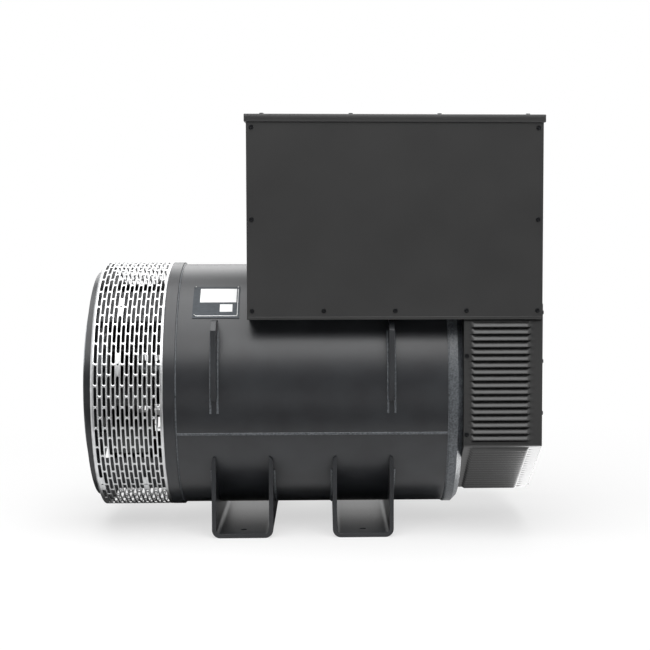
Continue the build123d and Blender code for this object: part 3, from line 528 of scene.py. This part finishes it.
def louvred_side(side):
    """One sheet, bent at the knee, with pressed hoods that open downwards."""
    half_w, top = HOUSING_HALF_W, HOUSING_TOP
    side_l, slope_l = top - KNEE_Z, hypot(half_w - HOUSING_FOOT_HALF_W, KNEE_Z - HOUSING_FOOT_Z)
    slope_dir = Vector((0, half_w - HOUSING_FOOT_HALF_W, HOUSING_FOOT_Z - KNEE_Z)).normalized()
    slope_out = Vector((0, slope_dir.z, -slope_dir.y))
    work = bmesh.new()

    def point(x, along, out):
        """A point of the sheet from its length down the sheet and its height off it."""
        if along <= side_l:
            place, normal = Vector((x, -half_w, top - along)), Vector((0, -1, 0))
        else:
            place, normal = Vector((x, -half_w, KNEE_Z)) + slope_dir * (along - side_l), slope_out
        near = (along - side_l) / BEND_R
        if abs(near) < 1:
            # ease the bend by drawing the corner in
            place += (Vector((0, 1, 0)) - slope_out) * 0.5 * BEND_R * (1 - abs(near)) ** 2 * 0.5
        return place + normal * out

    x0, x1 = REAR_X1, REAR_X1 + HOUSING_L
    hood_x0, hood_x1 = x0 + LOUVRE_INSET, x0 + LOUVRE_INSET + LOUVRE_L
    columns = [x0, x0 + 1 * MM, (x0 + hood_x0) / 2, hood_x0]
    shares = [0.0]
    for i in range(1, END_STEPS + 1):
        columns.append(hood_x0 + HOOD_END * i / END_STEPS)
        shares.append(sin(pi / 2 * i / END_STEPS) ** 0.8)
    for i in range(1, MIDDLE_STEPS):
        columns.append(hood_x0 + HOOD_END + (LOUVRE_L - 2 * HOOD_END) * i / MIDDLE_STEPS)
        shares.append(1.0)
    for i in range(END_STEPS, -1, -1):
        columns.append(hood_x1 - HOOD_END * i / END_STEPS)
        shares.append(sin(pi / 2 * i / END_STEPS) ** 0.8)
    columns += [(x1 + hood_x1) / 2, x1 - 1 * MM, x1]
    share = [0.0] * 3 + shares + [0.0] * 3

    hoods = [top - LOUVRE_TOP + LOUVRE_PITCH * row for row in range(SIDE_ROWS)]
    slope_start = (slope_l - (SLOPE_ROWS - 1) * LOUVRE_PITCH) / 2
    hoods += [side_l + slope_start + LOUVRE_PITCH * row for row in range(SLOPE_ROWS)]
    rows = [(0.0, 0.0, False)]
    for middle in hoods:
        start = middle - LOUVRE_H / 2
        for t, rise in HOOD_SHAPE:
            rows.append((start + LOUVRE_H * t, rise, False))
        rows.append((start + LOUVRE_H * 1.02, 0.86, False))
        # the sheet steps back behind the lip and comes forward again before the next hood
        rows.append((start + LOUVRE_H * 1.04, STEP_BACK, True))
        rows.append((start + LOUVRE_H + LIP_GAP, STEP_BACK, False))
        rows.append((start + LOUVRE_PITCH - 0.3 * MM, 0.0, False))
    for extra in (-1.0, -0.5, 0.0, 0.5, 1.0):
        rows.append((side_l + extra * BEND_R, 0.0, False))
    rows.append((side_l + slope_l, 0.0, False))
    rows.sort()
    grid = []
    for along, rise, _ in rows:
        grid.append([work.verts.new(point(x, along, LOUVRE_REACH * rise * share[i]))
                     for i, x in enumerate(columns)])
    for j in range(len(rows) - 1):
        # below each lip the sheet is open for as long as the hood stands off it
        opening = rows[j + 1][2]
        for i in range(len(columns) - 1):
            if opening and share[i] > 0.05 and share[i + 1] > 0.05:
                continue
            work.faces.new((grid[j][i], grid[j][i + 1], grid[j + 1][i + 1], grid[j + 1][i]))
    if side > 0:
        bmesh.ops.scale(work, vec=(1, -1, 1), verts=work.verts)
    name = "louvred_side_front" if side < 0 else "louvred_side_rear"
    made = piece(name, work, powder_coat, sharp=50)
    thick = made.modifiers.new("sheet_thickness", "SOLIDIFY")
    thick.thickness = LOUVRE_SHEET_T
    thick.offset = -1.0
    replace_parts(made, "shroud_side_front" if side < 0 else "shroud_side_rear")


for side in (-1, 1):
    louvred_side(side)

# ------------------------------------------------------------------ conduit box
lid = bmesh.new()
slab(lid, lid_low, lid_high, 2.0 * MM)
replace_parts(piece("box_lid_folded", lid, powder_coat), "box_lid")

trim = bmesh.new()
HEM_H = 9 * MM
HEM_PROUD = 1.2 * MM
for side in (-1, 1):
    face_y = side * BOX_HALF_W
    # folded hem along the foot of each long cover
    ys = sorted((face_y - side * COVER_T, face_y + side * HEM_PROUD))
    slab(trim, (box_low.x, ys[0], box_low.z), (box_high.x, ys[1], box_low.z + HEM_H), 1.0 * MM)
piece("cover_hems", trim, powder_coat)

# ------------------------------------------------------------------ screws of the sheet metal
LID_SCREW_INSET = 45 * MM
COVER_SCREW_INSET = 15 * MM
lid_screws = bmesh.new()
for column in range(4):
    for side in (-1, 1):
        x = BOX_X0 + LID_SCREW_INSET + (BOX_X1 - BOX_X0 - 2 * LID_SCREW_INSET) / 3 * column
        hex_screw(lid_screws, facing((x, side * (BOX_HALF_W - 15 * MM), lid_high.z), (0, 0, 1)))
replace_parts(piece("lid_hex_screws", lid_screws, black_oxide), "lid_screws")

cover_screws = bmesh.new()
first_z, last_z = 254 * MM, 792.5 * MM  # heights of the lowest and the highest row
for side in (-1, 1):
    for row in range(3):
        for column in range(5):
            if row and column not in (0, 4):    # only the lowest row has screws between the corners
                continue
            x = BOX_X0 + COVER_SCREW_INSET + (BOX_X1 - BOX_X0 - 2 * COVER_SCREW_INSET) / 4 * column
            z = first_z + (last_z - first_z) / 2 * row
            hex_screw(cover_screws, facing((x, side * BOX_HALF_W, z), (0, side, 0)))
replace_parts(piece("cover_hex_screws", cover_screws, black_oxide), "box_screws")

END_SCREW_Y = HOUSING_HALF_W - 12 * MM
END_SCREW_LOW_Z = HOUSING_FOOT_Z + 12 * MM
housing_screws = bmesh.new()
for side in (-1, 1):
    for z in (118 * MM, -118 * MM):
        hex_screw(housing_screws, facing((REAR_X1 + 8 * MM, side * HOUSING_HALF_W, z), (0, side, 0)))
    for z in (247 * MM, 101 * MM, -55 * MM):
        hex_screw(housing_screws, facing((cover_high.x, side * END_SCREW_Y, z), (1, 0, 0)))
    hex_screw(housing_screws, facing((cover_high.x, side * HOUSING_FOOT_HALF_W, END_SCREW_LOW_Z),
                                     (1, 0, 0)))
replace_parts(piece("housing_hex_screws", housing_screws, black_oxide), "shroud_screws")

# ------------------------------------------------------------------ nameplate and labels
plate_low, plate_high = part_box("nameplate")


def curved_patch(work, x0, x1, angle0, angle1, radius, thickness, steps=16):
    """A thin sheet that hugs the tube between two heights above the -Y side, in degrees."""
    outer, inner = [], []
    for i in range(steps + 1):
        angle = radians(180 - (angle0 + (angle1 - angle0) * i / steps))
        for row, r in ((outer, radius + thickness), (inner, radius)):
            row.append([work.verts.new((x, r * cos(angle), r * sin(angle))) for x in (x0, x1)])
    for i in range(steps):
        work.faces.new((outer[i][0], outer[i][1], outer[i + 1][1], outer[i + 1][0]))
        work.faces.new((inner[i][0], inner[i][1], inner[i + 1][1], inner[i + 1][0]))
        for j in (0, 1):
            work.faces.new((outer[i][j], inner[i][j], inner[i + 1][j], outer[i + 1][j]))
    for i in (0, steps):
        work.faces.new((outer[i][0], outer[i][1], inner[i][1], inner[i][0]))


labels = bmesh.new()
plate_r = TUBE_R + 1.75 * MM           # the nameplate's outer face
# a wide blank label across the top of the plate and a small one below it
curved_patch(labels, plate_low.x + 21 * MM, plate_high.x - 10 * MM, 45.5, 54.5, plate_r, 0.3 * MM)
curved_patch(labels, plate_low.x + 82 * MM, plate_low.x + 120 * MM, 40.0, 44.3, plate_r, 0.3 * MM)
# thin printed lines along the foot and the right side of the plate
curved_patch(labels, plate_low.x + 9 * MM, plate_high.x - 5 * MM, 37.6, 37.9, plate_r, 0.2 * MM)
curved_patch(labels, plate_high.x - 6.5 * MM, plate_high.x - 5 * MM, 37.6, 54.5, plate_r, 0.2 * MM)
piece("blank_labels", labels, label_film)

rivets = bmesh.new()
for x in (plate_low.x + 6 * MM, plate_high.x - 6 * MM):
    for place in tube_arc(x, 38.2, 55.8, plate_r, 1)[0]:
        bmesh.ops.create_uvsphere(rivets, u_segments=16, v_segments=10, radius=2.6 * MM,
                                  matrix=Matrix.Translation(place))
piece("nameplate_rivets", rivets, zinc)

# ------------------------------------------------------------------ floor, light and camera
scene = bpy.context.scene
floor_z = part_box("foot_de")[0].z


def shown_ray(tree):
    """1 for what the camera, a reflection or glass sees, and 0 for what lights the part."""
    path = add(tree, "LightPath", {}, {})
    seen = add(tree, "Math", {"operation": "MAXIMUM"},
               {0: path.outputs["Is Camera Ray"], 1: path.outputs["Is Glossy Ray"]})
    seen = add(tree, "Math", {"operation": "MAXIMUM"},
               {0: seen.outputs[0], 1: path.outputs["Is Transmission Ray"]})
    return seen.outputs[0]


FLOOR_FILL = 0.62                      # share of plain white laid over the floor round the part


def backdrop_material():
    """White paper that keeps the shadow near the part and turns plain white farther out."""
    made, tree, place, surface = finish("white_studio_paper")
    tone = add(tree, "TexNoise", {}, {"Vector": place, "Scale": 0.6})
    colour = add(tree, "ValToRGB", {"stops": ((0.3, "#f6f6f6"), (0.7, "#f8f8f8"))},
                 {"Fac": tone.outputs["Fac"]})
    tree.links.new(colour.outputs[0], surface.inputs["Base Color"])
    surface.inputs["Roughness"].default_value = 0.9
    surface.inputs["Specular IOR Level"].default_value = 0.1
    off_centre = add(tree, "VectorMath", {"operation": "DISTANCE"}, {0: place, 1: (0.67, 0.0, 0.0)})
    fade = add(tree, "MapRange", {"interpolation_type": "SMOOTHSTEP"},
               {"Value": off_centre.outputs["Value"], "From Min": 0.5, "From Max": 2.6,
                "To Min": FLOOR_FILL, "To Max": 1.0})
    share = add(tree, "Math", {"operation": "MULTIPLY"}, {0: fade.outputs[0], 1: shown_ray(tree)})
    white = add(tree, "Emission", {}, {"Color": (1, 1, 1, 1), "Strength": 1.0})
    mixed = add(tree, "MixShader", {}, {0: share.outputs[0], 1: surface.outputs[0], 2: white.outputs[0]})
    tree.links.new(mixed.outputs[0], tree.get_output_node("ALL").inputs["Surface"])
    return made


floor_mesh = bmesh.new()
bmesh.ops.create_grid(floor_mesh, x_segments=2, y_segments=2, size=30.0)
floor = piece("floor", floor_mesh, backdrop_material())
floor.parent = None
floor.location.z = floor_z

world = bpy.data.worlds.new("white_room")
scene.world = world
world.use_nodes = True
tree = world.node_tree
tree.nodes.clear()
shown = add(tree, "Background", {}, {"Color": (1, 1, 1, 1), "Strength": 1.0})
lighting = add(tree, "Background", {}, {"Color": (1, 1, 1, 1), "Strength": 0.25})
mixed = add(tree, "MixShader", {}, {0: shown_ray(tree), 1: lighting.outputs[0], 2: shown.outputs[0]})
add(tree, "OutputWorld", {}, {"Surface": mixed.outputs[0]})


def soft_box(name, place, aim, size, power):
    """A large soft lamp that hangs at a place and faces a point."""
    lamp = bpy.data.lights.new(name, "AREA")
    lamp.shape, lamp.size, lamp.size_y = "RECTANGLE", size[0], size[1]
    lamp.energy = power
    made = bpy.data.objects.new(name, lamp)
    scene.collection.objects.link(made)
    made.visible_camera = False
    made.location = place
    made.rotation_euler = (Vector(aim) - Vector(place)).to_track_quat("-Z", "Y").to_euler()


# The floor panel lies past the inlet housing and lights its slanted louvres from below.
soft_box("overhead", (0.6, -0.7, 3.2), (0.7, 0.0, 0.1), (3.8, 3.2), 120)
soft_box("front_bank", (0.9, -3.0, 2.5), (0.7, -0.3, 0.1), (4.2, 1.5), 68)
soft_box("rear_bank", (0.5, 3.0, 2.3), (0.7, 0.0, 0.4), (4.0, 1.8), 48)
soft_box("floor_panel", (1.81, 0.1, floor_z + 2 * MM), (1.81, 0.1, 1.0), (0.92, 1.0), 16)

# Grey felt that gives dark reflections and nothing else: a sheet on stands behind the camera, and two
# sheets on the floor that paint shade into the part's reflections.
grey_felt = moulded("grey_studio_felt", "#3a3a3a", "#444444", 0.9)


def dark_card(name, place, size, turn):
    """A sheet of felt that only reflections see."""
    work = bmesh.new()
    bmesh.ops.create_grid(work, x_segments=1, y_segments=1, size=0.5, matrix=Matrix.Rotation(turn, 4, "X"))
    card = piece(name, work, grey_felt)
    card.parent = None
    card.location = place
    card.scale = size
    card.visible_camera = False
    card.visible_diffuse = False
    card.visible_shadow = False


# one behind the camera keeps the upright faces from turning pale; two on the floor are painted shade that
# only reflections see: one darkens the part's underside, one the faces low on its front
dark_card("camera_card", (0.7, -7.5, 1.2), (14.0, 1.0, 5.0), radians(90))
dark_card("painted_shade_under_card", (0.45, 0.62, floor_z + 1 * MM), (1.3, 1.6, 1.0), 0.0)
dark_card("painted_shade_front_card", (0.6, -1.35, floor_z + 1 * MM), (3.4, 1.1, 1.0), 0.0)

CAMERA_YAW = 2.3                       # degrees; the shift brings the part back to the middle
camera = bpy.data.cameras.new("camera")
camera.sensor_width = 36.0
camera.lens = 80.75
view = bpy.data.objects.new("camera", camera)
scene.collection.objects.link(view)
view.location = (0.716, -4.700, 0.519)
view.rotation_euler = (radians(90 - 4.08), 0, -radians(CAMERA_YAW))
camera.shift_x = -tan(radians(CAMERA_YAW)) * camera.lens / camera.sensor_width
camera.clip_end = 100
scene.camera = view
scene.view_settings.view_transform = "Standard"
